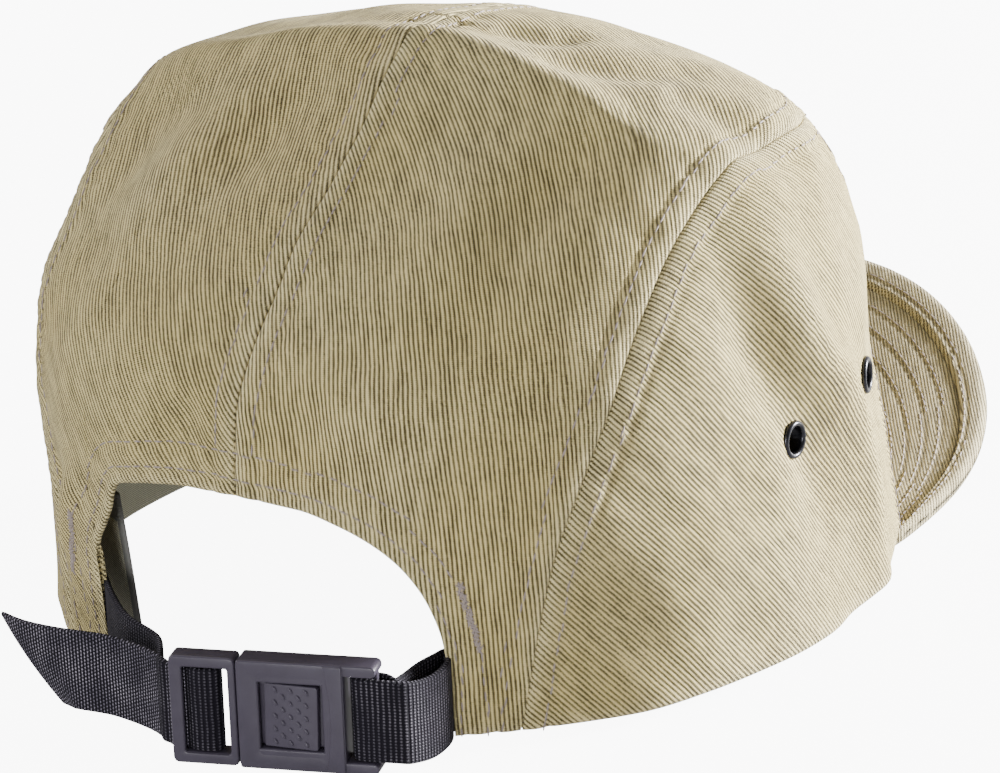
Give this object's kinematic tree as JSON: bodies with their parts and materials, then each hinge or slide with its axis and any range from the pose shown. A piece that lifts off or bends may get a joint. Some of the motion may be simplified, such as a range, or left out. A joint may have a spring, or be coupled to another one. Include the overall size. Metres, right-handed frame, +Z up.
{
  "type": "five panel cap",
  "caption": "Soft camp cap with an open back arch, a stiff arched visor, side eyelets, and a webbing strap that closes with a push buckle and a ladder lock.",
  "frame": {"origin": "under the middle of the whole cap's bounding box, on the surface that it rests on", "axes": "+Z up, +Y towards the back of the head, -Y towards the visor, +X towards the wearer's left"},
  "size_m": [0.1854, 0.2894, 0.1296],
  "materials": {
    "twill": "khaki cotton twill",
    "band": "ribbed cotton sweatband",
    "webbing": "charcoal woven webbing",
    "plastic": "dark satin moulded plastic",
    "eyelet": "glossy gunmetal"
  },
  "bodies": {
    "root": {"front_panel": "twill", "side_panel_left": "twill", "side_panel_right": "twill", "back_panel_left": "twill", "back_panel_right": "twill", "visor": "twill", "sweatband": "band", "eyelet_left_rear": "eyelet", "eyelet_left_front": "eyelet", "eyelet_right_rear": "eyelet", "eyelet_right_front": "eyelet", "strap_left": "webbing", "strap_right": "webbing", "buckle_latch": "plastic", "buckle_body": "plastic"}
  },
  "joints": []
}
